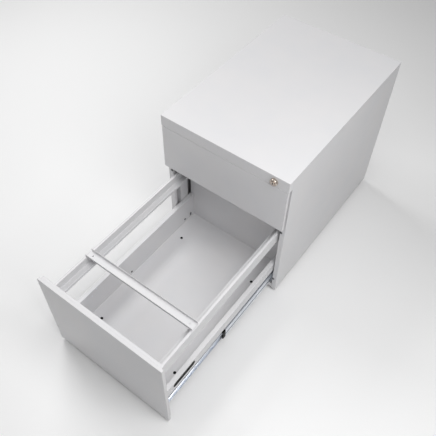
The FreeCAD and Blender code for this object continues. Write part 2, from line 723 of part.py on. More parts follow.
def make_crossbar(floor, opening):
    """Sliding channel across the rails, with a lanced tab inside each of them."""
    half = cell.bar_half_length
    low = floor + cell.rail_top_rise + cell.bar_clearance
    centre = FRONT + cell.bar_centre - opening
    near = centre - cell.bar_width / 2
    far = centre + cell.bar_width / 2
    high = low + cell.bar_height
    outline = folded([(near, high), (near, low), (far, low), (far, high)], STEEL, left=True)
    channel = extrusion("crossbar_channel", "YZ_Plane", outline, -half, half * 2)
    tab_half = cell.bar_tab_width / 2
    tabs = [block(f"crossbar_tab_{hand}", span(side, cell.bar_tab_x - STEEL, cell.bar_tab_x),
                  (centre - tab_half, centre + tab_half), (low - cell.bar_tab_drop, low))
            for hand, side in SIDES]
    holes = [rod(f"crossbar_hole_{hand}", cell.bar_hole_radius,
                 (cell.bar_hole_x * side, centre, low - SPARE), THROUGH)
             for hand, side in SIDES]
    solid = joined("crossbar_solid", [channel] + tabs)
    node(less("file_crossbar", solid, holes), "file_crossbar")


# ---------------------------------------------------------------- runners

def depth_path(path, side, level):
    """Turn (depth from the post face, height) pairs into a section of one runner."""
    return [((cell.post_face - depth) * side, level + height) for depth, height in path]


def channel_section(side, level, reach, web, half, steel):
    """Section of a channel: two flanges from its web, in a runner's own depth."""
    path = depth_path([(reach, half), (web, half), (web, -half), (reach, -half)], side, level)
    opens_to_middle = reach.value > web.value
    return folded(path, steel, left=(side > 0) != opens_to_middle)


def screw_holes(name, side, level, web, places):
    """Clearance holes for screws through a runner's web, given the web's inner face."""
    return [cross_rod(f"{name}_hole_{index}", cell.screw_radius + cell.screw_slip, side,
                      web - SPARE, web + cell.runner_steel + SPARE, y, level)
            for index, y in enumerate(places)]


def make_cabinet_runner(drawer, hand, side, floor):
    """Outer channel, screwed to the posts."""
    name = f"{drawer}_{hand}_cabinet_runner"
    level = runner_level(floor)
    outline = channel_section(side, level, cell.cabinet_reach, as_size(0),
                              cell.cabinet_half, cell.runner_steel)
    channel = extrusion(f"{name}_channel", "XZ_Plane", outline, FRONT + cell.runner_start,
                        cell.runner_length)
    middles = [FRONT + offset + cell.post_width / 2
               for offset in (cell.front_post_start, cell.rear_post_start)]
    web = cell.post_face - cell.runner_steel
    node(less(name, channel, screw_holes(name, side, level, web, middles)), name)


def make_middle_runner(drawer, hand, side, floor, opening):
    """Middle channel with its pressed groove, and the black bumper on its front end."""
    name = f"{drawer}_{hand}_middle_runner"
    level = runner_level(floor)
    shift = opening * MIDDLE_SHARE
    outline = channel_section(side, level, cell.middle_reach, cell.middle_web,
                              cell.middle_half, cell.runner_steel)
    front = FRONT + cell.bumper_start - shift
    start = front + cell.bumper_length
    length = cell.runner_start + cell.runner_length - cell.bumper_start - cell.bumper_length
    channel = extrusion(f"{name}_channel", "XZ_Plane", outline, start, length)
    outer = cell.post_face - cell.middle_web
    low = level - cell.groove_rise - cell.groove_height / 2
    groove = block(f"{name}_groove", span(side, outer - cell.runner_steel / 2, outer + SPARE),
                   (start + cell.groove_margin, start + length - cell.groove_margin),
                   (low, low + cell.groove_height))
    node(less(name, channel, [groove]), name)
    cap = channel_section(side, level, cell.bumper_reach, cell.bumper_web,
                          cell.bumper_half, cell.bumper_wall)
    bumper = extrusion(f"{drawer}_{hand}_runner_bumper", "XZ_Plane", cap, front,
                       cell.bumper_length)
    node(bumper, f"{drawer}_{hand}_runner_bumper")


def make_drawer_runner(drawer, hand, side, floor, opening):
    """Inner channel, screwed to the drawer side."""
    name = f"{drawer}_{hand}_drawer_runner"
    level = runner_level(floor)
    outline = channel_section(side, level, cell.drawer_reach, cell.runner_depth,
                              cell.drawer_half, cell.runner_steel)
    start = FRONT + cell.runner_start - opening
    channel = extrusion(f"{name}_channel", "XZ_Plane", outline, start, cell.runner_length)
    places = [FRONT + offset - opening for offset in side_screw_offsets()]
    web = cell.post_face - cell.runner_depth
    holes = screw_holes(name, side, floor + cell.side_screw_rise, web, places)
    node(less(name, channel, holes), name)


def cage(name, side, level, web, row, start):
    """Ball cage: a thin channel with a row of steel balls held in each flange."""
    half = row + cell.cage_steel / 2
    outline = channel_section(side, level, cell.cage_reach, web, half, cell.cage_steel)
    pieces = [extrusion(f"{name}_strip", "XZ_Plane", outline, start, cell.cage_length)]
    count = int((cell.cage_length - cell.ball_margin * 2).value / cell.ball_pitch.value) + 1
    for height, row_name in ((row, "top"), (-row, "bottom")):
        for index in range(count):
            ball = doc.addObject("Part::Sphere", f"{name}_{row_name}_ball_{index}")
            bind(ball, "Radius", cell.ball_radius)
            place(ball, (cell.post_face - cell.ball_depth) * side,
                  start + cell.ball_margin + cell.ball_pitch * index, level + height)
            pieces.append(ball)
    return joined(name, pieces)


def make_cages(drawer, floor, opening):
    """Ball cages of a drawer's two runners, each moving its own share of the way."""
    level = runner_level(floor)
    kinds = (("outer", cell.outer_cage_web, cell.outer_ball_row,
              FRONT + cell.outer_cage_start - opening * OUTER_CAGE_SHARE),
             ("inner", cell.inner_cage_web, cell.inner_ball_row,
              FRONT + cell.inner_cage_start - opening * INNER_CAGE_SHARE))
    for kind, web, row, start in kinds:
        label = f"{drawer}_{kind}_ball_cages"
        cages = [cage(f"{drawer}_{hand}_{kind}_cage", side, level, web, row, start)
                 for hand, side in SIDES]
        node(grouped(label, cages), label)


# ---------------------------------------------------------------- assembly

def make_carcass():
    """Everything that stands still."""
    for hand, side in SIDES:
        make_side_panel(hand, side)
    make_top_panel()
    make_back_panel()
    make_base_panel()
    make_divider_rail()
    make_posts()
    make_ballast()
    make_feet()
    make_buffers()


def make_lock():
    """Lock, cam, bar and guides."""
    make_lock_housing()
    make_lock_plug()
    make_lock_bar()
    make_lock_bar_guides()


def make_drawers():
    """Both drawers with their runners."""
    make_front("lower", LOWER_BOTTOM, LOWER_TOP, DRAWERS[0][2])
    make_front("upper", UPPER_BOTTOM, UPPER_TOP, DRAWERS[1][2])
    for drawer, floor, opening in DRAWERS:
        for hand, side in SIDES:
            make_drawer_side(drawer, hand, side, floor, opening)
            make_cabinet_runner(drawer, hand, side, floor)
            make_middle_runner(drawer, hand, side, floor, opening)
            make_drawer_runner(drawer, hand, side, floor, opening)
        make_drawer_floor(drawer, floor, opening)
        make_drawer_screws(drawer, floor, opening)
        make_cages(drawer, floor, opening)
        make_covers(drawer, floor, opening)
    make_lower_back(LOWER_FLOOR, DRAWERS[0][2])
    make_upper_back(UPPER_FLOOR, DRAWERS[1][2])


def make_filing_fittings():
    """Rails and crossbar of the filing drawer."""
    for hand, side in SIDES:
        make_file_rail(hand, side, LOWER_FLOOR, DRAWERS[0][2])
    make_crossbar(LOWER_FLOOR, DRAWERS[0][2])


def check_and_write():
    """Recompute, stop on any failed object, and write each sub-part to its file."""
    doc.recompute()
    failed = [item.Name for item in doc.Objects
              if "Invalid" in item.State or "Error" in item.State]
    if failed:
        raise RuntimeError(f"objects failed: {failed}")
    for item in nodes:
        if item.Shape.isNull() or not item.Shape.isValid() or not item.Shape.Solids:
            raise RuntimeError(f"{item.Label} has no valid solid")
    os.makedirs("parts", exist_ok=True)
    for item in nodes:
        item.Shape.exportStep(f"parts/{item.Label}.step")


make_carcass()
make_lock()
make_drawers()
make_filing_fittings()
check_and_write()
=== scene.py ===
import bpy
import bmesh
import json
import math
from mathutils import Matrix, Vector
from mathutils.bvhtree import BVHTree


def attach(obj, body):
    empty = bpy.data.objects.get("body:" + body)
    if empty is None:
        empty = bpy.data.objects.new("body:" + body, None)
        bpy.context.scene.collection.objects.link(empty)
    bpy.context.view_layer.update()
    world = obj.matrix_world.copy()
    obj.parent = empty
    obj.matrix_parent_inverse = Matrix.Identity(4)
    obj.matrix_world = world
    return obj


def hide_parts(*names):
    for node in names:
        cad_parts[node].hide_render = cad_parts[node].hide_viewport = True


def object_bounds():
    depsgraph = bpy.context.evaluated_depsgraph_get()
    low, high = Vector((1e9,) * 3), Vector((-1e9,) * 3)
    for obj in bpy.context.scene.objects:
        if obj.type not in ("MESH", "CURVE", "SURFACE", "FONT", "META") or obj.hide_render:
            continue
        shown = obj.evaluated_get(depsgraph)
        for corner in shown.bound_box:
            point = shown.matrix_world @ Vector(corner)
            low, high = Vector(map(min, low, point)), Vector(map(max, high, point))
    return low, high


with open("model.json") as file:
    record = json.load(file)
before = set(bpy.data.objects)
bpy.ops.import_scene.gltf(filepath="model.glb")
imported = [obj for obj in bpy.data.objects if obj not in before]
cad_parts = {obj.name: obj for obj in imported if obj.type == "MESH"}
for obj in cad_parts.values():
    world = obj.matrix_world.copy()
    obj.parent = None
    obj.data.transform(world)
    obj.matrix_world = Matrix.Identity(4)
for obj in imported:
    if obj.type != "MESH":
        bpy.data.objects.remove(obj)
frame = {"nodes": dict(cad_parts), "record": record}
cad_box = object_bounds()

MM = 0.001
NODES = frame["nodes"]
BODY_OF = {name: body for body, names in frame["record"]["behaviour"]["bodies"].items()
           for name in names}
SIDES = (("left", -1), ("right", 1))
DRAWERS = ("lower", "upper")

# Sheet steel: how thick it is and how tightly the press brake and the punch leave its edges.
STEEL = 1 * MM
FOLD_OUTSIDE = 1.6 * MM
FOLD_INSIDE = 0.6 * MM
CUT_EDGE = 0.25 * MM
# An edge that turns at least this much is a fold, a corner or a cut end.
SHARP = math.radians(40)
# Where the front face of the carcass is along Y, and how far out the faces of the posts are.
FRONT = -300 * MM
POST_FACE = 181.7 * MM


# ---------------------------------------------------------------- shared helpers

def linear(code):
    """An sRGB hex colour as a linear RGBA."""
    parts = [int(code[place:place + 2], 16) / 255 for place in (1, 3, 5)]
    return [c / 12.92 if c <= 0.04045 else ((c + 0.055) / 1.055) ** 2.4 for c in parts] + [1]


def add(tree, kind, inputs=None, **settings):
    """Add a node to a tree. An input is a value, or another node's output to link from."""
    made = tree.nodes.new(kind)
    for field, value in settings.items():
        setattr(made, field, value)
    for socket, value in (inputs or {}).items():
        if isinstance(value, bpy.types.NodeSocket):
            tree.links.new(value, made.inputs[socket])
        else:
            made.inputs[socket].default_value = value
    return made


def mesh_object(name, shape, *materials):
    """An object from a bmesh, with its materials."""
    mesh = bpy.data.meshes.new(name)
    shape.to_mesh(mesh)
    shape.free()
    for material in materials:
        mesh.materials.append(material)
    made = bpy.data.objects.new(name, mesh)
    bpy.context.scene.collection.objects.link(made)
    return made


def as_plain_mesh(item):
    """Apply an object's modifiers, so that what is left is one plain mesh."""
    bpy.context.view_layer.update()
    graph = bpy.context.evaluated_depsgraph_get()
    mesh = bpy.data.meshes.new_from_object(item.evaluated_get(graph), depsgraph=graph)
    old = item.data
    item.modifiers.clear()
    item.data = mesh
    bpy.data.meshes.remove(old)
    mesh.name = item.name
    return item


def stands_for(item, body, slot, *nodes):
    """Let a piece ride on a body, in place of the plain nodes it refines. The slot is not used.
    """
    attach(item, body)
    if nodes:
        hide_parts(*nodes)


# ---------------------------------------------------------------- finishes

def new_finish(name):
    """A material with an empty shader, its output and the object's own coordinates."""
    material = bpy.data.materials.new(name)
    material.use_nodes = True
    tree = material.node_tree
    tree.nodes.clear()
    shader = add(tree, "ShaderNodeBsdfPrincipled")
    add(tree, "ShaderNodeOutputMaterial", {"Surface": shader.outputs["BSDF"]})
    place = add(tree, "ShaderNodeTexCoord").outputs["Object"]
    return material, tree, shader, place


def powder_coat():
    """Polyester powder coat, sprayed and baked: a satin skin with a faint orange peel."""
    material, tree, shader, place = new_finish("polyester powder coat light grey")
    clouds = add(tree, "ShaderNodeTexNoise",
                 {"Vector": place, "Scale": 1 / (90 * MM), "Detail": 2.0})
    tone = add(tree, "ShaderNodeValToRGB", {"Fac": clouds.outputs["Fac"]})
    tone.color_ramp.elements[0].position = 0.3
    tone.color_ramp.elements[0].color = linear("#D5D5D7")
    tone.color_ramp.elements[1].position = 0.7
    tone.color_ramp.elements[1].color = linear("#D8D7D8")
    tree.links.new(tone.outputs["Color"], shader.inputs["Base Color"])
    # the real peel is 1 to 2 mm across, drawn at 3 mm so that it shows as a soft break in gloss
    peel = add(tree, "ShaderNodeTexNoise",
               {"Vector": place, "Scale": 1 / (3 * MM), "Detail": 3.0, "Roughness": 0.55})
    bump = add(tree, "ShaderNodeBump",
               {"Height": peel.outputs["Fac"], "Strength": 0.12, "Distance": 0.05 * MM})
    tree.links.new(bump.outputs["Normal"], shader.inputs["Normal"])
    gloss = add(tree, "ShaderNodeMapRange",
                {"Value": peel.outputs["Fac"], "To Min": 0.36, "To Max": 0.46})
    tree.links.new(gloss.outputs["Result"], shader.inputs["Roughness"])
    shader.inputs["IOR"].default_value = 1.5
    return material


def zinc_plate():
    """Cold-rolled steel, zinc plated and blue passivated: a bluish sheen with roll lines."""
    material, tree, shader, place = new_finish("blue passivated zinc plate")
    # roll lines run along Y and are under 0.1 mm, drawn at 0.6 mm so that they show
    stretched = add(tree, "ShaderNodeMapping", {"Vector": place, "Scale": (1, 0.02, 1)})
    lines = add(tree, "ShaderNodeTexNoise",
                {"Vector": stretched.outputs["Vector"], "Scale": 1 / (0.6 * MM), "Detail": 4.0})
    bloom = add(tree, "ShaderNodeTexNoise",
                {"Vector": place, "Scale": 1 / (14 * MM), "Detail": 3.0})
    tone = add(tree, "ShaderNodeValToRGB", {"Fac": bloom.outputs["Fac"]})
    tone.color_ramp.elements[0].position = 0.35
    tone.color_ramp.elements[0].color = linear("#DDE2EB")
    tone.color_ramp.elements[1].position = 0.7
    tone.color_ramp.elements[1].color = linear("#F0F3F8")
    tree.links.new(tone.outputs["Color"], shader.inputs["Base Color"])
    gloss = add(tree, "ShaderNodeMapRange",
                {"Value": lines.outputs["Fac"], "To Min": 0.24, "To Max": 0.42})
    tree.links.new(gloss.outputs["Result"], shader.inputs["Roughness"])
    bump = add(tree, "ShaderNodeBump",
               {"Height": lines.outputs["Fac"], "Strength": 0.1, "Distance": 0.02 * MM})
    tree.links.new(bump.outputs["Normal"], shader.inputs["Normal"])
    shader.inputs["Metallic"].default_value = 1.0
    return material


def moulded_plastic():
    """Black polypropylene from a spark-eroded mould: a fine matt grain."""
    material, tree, shader, place = new_finish("black moulded polypropylene")
    # spark-eroded grain is about 0.1 mm, drawn at 0.5 mm so that it shows
    grain = add(tree, "ShaderNodeTexNoise",
                {"Vector": place, "Scale": 1 / (0.5 * MM), "Detail": 3.0})
    bump = add(tree, "ShaderNodeBump",
               {"Height": grain.outputs["Fac"], "Strength": 0.25, "Distance": 0.04 * MM})
    tree.links.new(bump.outputs["Normal"], shader.inputs["Normal"])
    gloss = add(tree, "ShaderNodeMapRange",
                {"Value": grain.outputs["Fac"], "To Min": 0.52, "To Max": 0.72})
    tree.links.new(gloss.outputs["Result"], shader.inputs["Roughness"])
    shader.inputs["Base Color"].default_value = linear("#0D0D0F")
    shader.inputs["IOR"].default_value = 1.49
    # the grain scatters its shine, so that it stays black when seen along the face
    shader.inputs["Specular IOR Level"].default_value = 0.25
    return material


def black_zinc():
    """Steel screws, black zinc plated: dark metal with a soft shine."""
    material, tree, shader, place = new_finish("black zinc plated screw steel")
    bloom = add(tree, "ShaderNodeTexNoise",
                {"Vector": place, "Scale": 1 / (1.5 * MM), "Detail": 3.0})
    gloss = add(tree, "ShaderNodeMapRange",
                {"Value": bloom.outputs["Fac"], "To Min": 0.3, "To Max": 0.5})
    tree.links.new(gloss.outputs["Result"], shader.inputs["Roughness"])
    shader.inputs["Base Color"].default_value = linear("#2A2A2D")
    shader.inputs["Metallic"].default_value = 1.0
    return material


def bright_nickel():
    """Nickel plate over turned die-cast zinc: warm and bright, with a faint haze."""
    material, tree, shader, place = new_finish("bright nickel plate")
    haze = add(tree, "ShaderNodeTexNoise",
               {"Vector": place, "Scale": 1 / (2 * MM), "Detail": 4.0})
    gloss = add(tree, "ShaderNodeMapRange",
                {"Value": haze.outputs["Fac"], "To Min": 0.1, "To Max": 0.24})
    tree.links.new(gloss.outputs["Result"], shader.inputs["Roughness"])
    shader.inputs["Base Color"].default_value = linear("#CFC3B8")
    shader.inputs["Metallic"].default_value = 1.0
    return material


def moulded_rubber():
    """Grey EPDM rubber: dull, slightly dusty."""
    material, tree, shader, place = new_finish("grey moulded rubber")
    dust = add(tree, "ShaderNodeTexNoise",
               {"Vector": place, "Scale": 1 / (1 * MM), "Detail": 4.0})
    tone = add(tree, "ShaderNodeValToRGB", {"Fac": dust.outputs["Fac"]})
    tone.color_ramp.elements[0].color = linear("#4C4D50")
    tone.color_ramp.elements[1].color = linear("#67686B")
    tree.links.new(tone.outputs["Color"], shader.inputs["Base Color"])
    shader.inputs["Roughness"].default_value = 0.8
    shader.inputs["IOR"].default_value = 1.52
    return material


def hot_rolled_steel():
    """Hot-rolled plate with its mill scale left on: dark, blotchy, half dull."""
    material, tree, shader, place = new_finish("hot rolled steel with mill scale")
    scale = add(tree, "ShaderNodeTexNoise",
                {"Vector": place, "Scale": 1 / (25 * MM), "Detail": 8.0, "Roughness": 0.65})
    tone = add(tree, "ShaderNodeValToRGB", {"Fac": scale.outputs["Fac"]})
    tone.color_ramp.elements[0].position = 0.35
    tone.color_ramp.elements[0].color = linear("#3B3B40")
    tone.color_ramp.elements[1].position = 0.7
    tone.color_ramp.elements[1].color = linear("#66635F")
    tree.links.new(tone.outputs["Color"], shader.inputs["Base Color"])
    gloss = add(tree, "ShaderNodeMapRange",
                {"Value": scale.outputs["Fac"], "To Min": 0.4, "To Max": 0.7})
    tree.links.new(gloss.outputs["Result"], shader.inputs["Roughness"])
    shader.inputs["Metallic"].default_value = 1.0
    return material


def bearing_steel():
    """Hardened chrome steel balls, lapped to a mirror."""
    material, tree, shader, place = new_finish("lapped chrome steel")
    haze = add(tree, "ShaderNodeTexNoise", {"Vector": place, "Scale": 1 / (1 * MM)})
    gloss = add(tree, "ShaderNodeMapRange",
                {"Value": haze.outputs["Fac"], "To Min": 0.05, "To Max": 0.12})
    tree.links.new(gloss.outputs["Result"], shader.inputs["Roughness"])
    shader.inputs["Base Color"].default_value = linear("#DADCDF")
    shader.inputs["Metallic"].default_value = 1.0
    return material


def painted_groove_shade():
    """Painted shade for the pressed groove of the middle channels: nearly black, uneven and half
    glossy.
    """
    material, tree, shader, place = new_finish("darkened bearing grease")
    shade_mottle = add(tree, "ShaderNodeTexNoise",
                {"Vector": place, "Scale": 1 / (6 * MM), "Detail": 4.0})
    tone = add(tree, "ShaderNodeValToRGB", {"Fac": shade_mottle.outputs["Fac"]})
    tone.color_ramp.elements[0].color = linear("#0E0E10")
    tone.color_ramp.elements[1].color = linear("#26272A")
    tree.links.new(tone.outputs["Color"], shader.inputs["Base Color"])
    gloss = add(tree, "ShaderNodeMapRange",
                {"Value": shade_mottle.outputs["Fac"], "To Min": 0.35, "To Max": 0.6})
    tree.links.new(gloss.outputs["Result"], shader.inputs["Roughness"])
    shader.inputs["IOR"].default_value = 1.47
    # the painted shade takes little shine, so that it stays dark
    shader.inputs["Specular IOR Level"].default_value = 0.15
    return material


def studio_paper():
    """The pale paper that the cabinet stands on."""
    material, tree, shader, place = new_finish("pale studio paper")
    fibre = add(tree, "ShaderNodeTexNoise",
                {"Vector": place, "Scale": 1 / (4 * MM), "Detail": 2.0})
    tone = add(tree, "ShaderNodeValToRGB", {"Fac": fibre.outputs["Fac"]})
    tone.color_ramp.elements[0].color = linear("#F4F4F4")
    tone.color_ramp.elements[1].color = linear("#F7F7F7")
    tree.links.new(tone.outputs["Color"], shader.inputs["Base Color"])
    shader.inputs["Roughness"].default_value = 0.9
    return material


COAT = powder_coat()
ZINC = zinc_plate()
PLASTIC = moulded_plastic()
SCREW = black_zinc()
NICKEL = bright_nickel()
RUBBER = moulded_rubber()
MILL_STEEL = hot_rolled_steel()
BALL_STEEL = bearing_steel()
# painted shade: near black, for the pressed groove of the middle channels
GROOVE_SHADE = painted_groove_shade()
FINISH_OF_SLOT = {"grey_powder_coat": COAT, "zinc_plated_steel": ZINC, "black_plastic": PLASTIC,
                  "nickel": NICKEL, "grey_rubber": RUBBER, "raw_steel": MILL_STEEL}
SLOT_OF = {name: item.data.materials[0].name.split(".")[0] for name, item in NODES.items()}


# ---------------------------------------------------------------- camera, lights and floor

def set_up_camera():
    """A camera above the right of the open drawer."""
    turn, rise, roll = math.radians(35.7), math.radians(51.3), math.radians(1.45)
    distance = 1.608
    centre = (cad_box[0] + cad_box[1]) / 2
    aim = centre + Vector((-0.008, -0.058, -0.034))
    back = Vector((math.sin(turn) * math.cos(rise), -math.cos(turn) * math.cos(rise),
                   math.sin(rise)))
    data = bpy.data.cameras.new("camera")
    data.lens = 46.2
    data.sensor_width = 36
    camera = bpy.data.objects.new("camera", data)
    camera.matrix_world = (Matrix.Translation(aim + back * distance)
                           @ (-back).to_track_quat("-Z", "Y").to_matrix().to_4x4()
                           @ Matrix.Rotation(roll, 4, "Z"))
    bpy.context.scene.collection.objects.link(camera)
    bpy.context.scene.camera = camera


def add_light(name, place, aim, size, power):
    """A square soft box at a place, turned to what it lights."""
    data = bpy.data.lights.new(name, "AREA")
    data.shape = "SQUARE"
    data.size = size
    data.energy = power
    light = bpy.data.objects.new(name, data)
    light.location = place
    light.rotation_euler = (Vector(aim) - Vector(place)).to_track_quat("-Z", "Y").to_euler()
    bpy.context.scene.collection.objects.link(light)


def set_up_lights():
    """Soft boxes high at the left, right and above the open drawer, and a pale surround."""
    add_light("left", (-1.6, 0.2, 1.9), (0, 0, 0.3), 1.2, 28)
    add_light("right", (0.9, -0.65, 1.3), (0.2, -0.45, 0.3), 0.8, 9.5)
    add_light("drawer", (0.45, -0.6, 1.9), (0.1, -0.4, 0.3), 1, 8.5)
    add_light("front", (-1.3, -2.0, 1.5), (0, -0.4, 0.2), 1.2, 4)
    world = bpy.data.worlds.new("surround")
    world.use_nodes = True
    shade = world.node_tree.nodes["Background"]
    shade.inputs["Color"].default_value = linear("#FFFFFF")
    shade.inputs["Strength"].default_value = 0.22
    bpy.context.scene.world = world
    bpy.context.scene.view_settings.view_transform = "Standard"


def lay_floor():
    """A wide pale floor."""
    shape = bmesh.new()
    bmesh.ops.create_grid(shape, x_segments=1, y_segments=1, size=12)
    floor = mesh_object("floor", shape, studio_paper())


set_up_camera()
set_up_lights()
lay_floor()


# ---------------------------------------------------------------- pressed sheet

# Where along an edge its face is measured, and how near and how parallel counts as that face.
PROBES = (0.15, 0.5, 0.85)
ON_THE_SHEET = 0.01 * MM
SAME_WAY = 0.99
# A face narrower than this is the cut end of a sheet, which is one sheet thick.
END_FACE = STEEL * 1.3
# How the triangles of a flat face are told from a fold.
WELD = 0.002 * MM
FLAT = math.radians(0.5)


def ends_within(tree, edge, face, width):
    """Whether a face is narrower than a width anywhere along one of its edges."""
    loop = next(loop for loop in edge.link_loops if loop.face is face)
    start, end = loop.vert.co, loop.link_loop_next.vert.co
    inward = face.normal.cross(end - start).normalized()
    for share in PROBES:
        probe = start.lerp(end, share) + inward * width
        _, normal, _, distance = tree.find_nearest(probe)
        if distance > ON_THE_SHEET or normal.dot(face.normal) < SAME_WAY:
            return True
    return False


def cleaned_copy(name):
    """A node's mesh with its loose triangles joined and its flat faces whole."""
    shape = bmesh.new()
    shape.from_mesh(NODES[name].data)
    bmesh.ops.remove_doubles(shape, verts=shape.verts, dist=WELD)
    bmesh.ops.dissolve_limit(shape, angle_limit=FLAT, verts=shape.verts,
                             edges=shape.edges)
    shape.normal_update()
    return shape


def bevelled(name, shape, finish, width, segments, by_weight):
    """Round the edges of a shape and shade its flat faces flat."""
    piece = mesh_object(name, shape, finish)
    for face in piece.data.polygons:
        face.use_smooth = True
    bevel = piece.modifiers.new("rounded edges", "BEVEL")
    bevel.limit_method = "WEIGHT" if by_weight else "ANGLE"
    bevel.angle_limit = SHARP
    bevel.width = width
    bevel.segments = segments
    bevel.use_clamp_overlap = not by_weight
    bevel.face_strength_mode = "FSTR_ALL"
    flats = piece.modifiers.new("flat faces stay flat", "WEIGHTED_NORMAL")
    flats.use_face_influence = True
    return as_plain_mesh(piece)


def press(name):
    """A folded sheet with rounded folds and eased cut edges."""
    shape = cleaned_copy(name)
    tree = BVHTree.FromBMesh(shape)
    weight = shape.edges.layers.float.new("bevel_weight_edge")
    for edge in shape.edges:
        if not edge.is_manifold or edge.calc_face_angle() < SHARP:
            continue
        if any(ends_within(tree, edge, face, END_FACE) for face in edge.link_faces):
            edge[weight] = CUT_EDGE / FOLD_OUTSIDE
        elif edge.is_convex:
            edge[weight] = 1
        else:
            edge[weight] = FOLD_INSIDE / FOLD_OUTSIDE
    finish = FINISH_OF_SLOT[SLOT_OF[name]]
    piece = bevelled(f"{name}_pressed", shape, finish, FOLD_OUTSIDE, 3, True)
    stands_for(piece, BODY_OF[name], SLOT_OF[name], name)


def ease(name, radius):
    """A solid piece with its edges eased by a small radius."""
    finish = FINISH_OF_SLOT[SLOT_OF[name]]
    piece = bevelled(f"{name}_eased", cleaned_copy(name), finish, radius, 2, False)
    stands_for(piece, BODY_OF[name], SLOT_OF[name], name)


# How far the edges of solid pieces are eased, in mm.
EASED = {"ballast_plate": 0.8, "foot_nuts": 0.5, "lock_nut": 0.5, "lock_cam": 0.3,
         "lock_bar": 0.3, "lock_bar_guides": 0.6, "lock_plug": 0.2, "front_buffers": 0.35,
         "lower_left_runner_bumper": 0.5, "lower_right_runner_bumper": 0.5,
         "upper_left_runner_bumper": 0.5, "upper_right_runner_bumper": 0.5}


# ---------------------------------------------------------------- built-up shapes

# An arc is drawn in this many steps, and takes up at most this share of a straight run.
ARC_STEPS = 5
RUN_SHARE = 0.45


def softened(path, radius):
    """An open path with an arc in the place of each corner."""
    points = [Vector(point) * MM for point in path]
    smooth = [points[0]]
    for before, corner, after in zip(points, points[1:], points[2:]):
        into, out = (before - corner), (after - corner)
        turn = math.pi - into.angle(out)
        cut = min(radius * math.tan(turn / 2), into.length * RUN_SHARE,
                  out.length * RUN_SHARE)
        start, end = corner + into.normalized() * cut, corner + out.normalized() * cut
        for step in range(ARC_STEPS + 1):
            share = step / ARC_STEPS
            smooth.append(start.lerp(corner, share).lerp(corner.lerp(end, share), share))
    return smooth + [points[-1]]


def lofted(rings, closed=False):
    """A solid skin through rings of equally many points, capped at both ends or closed."""
    shape = bmesh.new()
    rows = [[shape.verts.new(point) for point in ring] for ring in rings]
    pairs = list(zip(rows, rows[1:] + rows[:1])) if closed else list(zip(rows, rows[1:]))
    for row, following in pairs:
        for index in range(len(row)):
            shape.faces.new((row[index - 1], row[index], following[index],
                             following[index - 1]))
    if not closed:
        shape.faces.new(rows[0])
        shape.faces.new(rows[-1])
    bmesh.ops.recalc_face_normals(shape, faces=shape.faces)
    return shape


def turned(profile, centre, axis, closed=False, points=48):
    """Rings of a turned shape: (along, radius) pairs in mm round an axis through a centre."""
    turn = Vector((0, 0, 1)).rotation_difference(Vector(axis))
    rings = []
    for along, radius in profile:
        ring = []
        for step in range(points):
            angle = 2 * math.pi * step / points
            ring.append(Vector(centre) + turn @ Vector((radius * math.cos(angle),
                                                        radius * math.sin(angle),
                                                        along)) * MM)
        rings.append(ring)
    return lofted(rings, closed)


def merged(shapes):
    """Several shapes as one."""
    whole = bmesh.new()
    for shape in shapes:
        mesh = bpy.data.meshes.new("part")
        shape.to_mesh(mesh)
        shape.free()
        whole.from_mesh(mesh)
        bpy.data.meshes.remove(mesh)
    return whole


def box_of(name):
    """The two corners of a node's box."""
    points = [vertex.co for vertex in NODES[name].data.vertices]
    low = Vector([min(point[axis] for point in points) for axis in range(3)])
    high = Vector([max(point[axis] for point in points) for axis in range(3)])
    return low, high


# ---------------------------------------------------------------- runners

# Sections of the three channels of a runner, in mm: depth from the post, height from the middle
# line. The first path is the outside of the steel and the second one the inside. The lips at the
# ends of the flanges hold the balls in.
CABINET_SECTION = (((10.5, 21.7), (9.2, 22.5), (0, 22.5), (0, -22.5), (9.2, -22.5),
                    (10.5, -21.7)),
                   ((10.5, 20.5), (9.0, 21.3), (1.2, 21.3), (1.2, -21.3), (9.0, -21.3),
                    (10.5, -20.5)))
MIDDLE_SECTION = (((11, 18.0), (9.5, 17.4), (2.2, 17.4), (2.2, -2.6), (2.8, -3.0),
                   (2.8, -7.0), (2.2, -7.4), (2.2, -17.4), (9.5, -17.4), (11, -18.0)),
                  ((11, 16.8), (9.7, 16.2), (3.4, 16.2), (3.4, -16.2), (9.7, -16.2),
                   (11, -16.8)))
# Where the pressed groove of the middle channel lies; its faces are painted near black, as
# painted shade.
GROOVE_HEIGHTS = (-7.3 * MM, -2.7 * MM)
GROOVE_DEPTHS = (2.3 * MM, 3 * MM)
DRAWER_SECTION = (((4.4, 11.6), (5.7, 12.3), (12.7, 12.3), (12.7, -12.3), (5.7, -12.3),
                   (4.4, -11.6)),
                  ((4.4, 10.4), (5.9, 11.1), (11.5, 11.1), (11.5, -11.1), (5.9, -11.1),
                   (4.4, -10.4)))
CORNER_OUTSIDE = 1.6 * MM
CORNER_INSIDE = 0.6 * MM


def channel(section, side, level, start, end):
    """One channel of a runner, rolled to its section and cut off square."""
    outside = softened([point + (0,) for point in section[0]], CORNER_OUTSIDE)
    inside = softened([point + (0,) for point in section[1]], CORNER_INSIDE)
    outline = outside + inside[::-1]
    rings = [[Vector(((POST_FACE - point.x) * side, y, level + point.y)) for point in outline]
             for y in (start, end)]
    return lofted(rings)


def paint_groove_shade(piece, side, level):
    """Paint the faces in the pressed groove of a middle channel near black, as painted shade."""
    piece.data.materials.append(GROOVE_SHADE)
    for face in piece.data.polygons:
        depth = POST_FACE - face.center.x * side
        height = face.center.z - level
        if (GROOVE_DEPTHS[0] < depth < GROOVE_DEPTHS[1]
                and GROOVE_HEIGHTS[0] < height < GROOVE_HEIGHTS[1]):
            face.material_index = 1


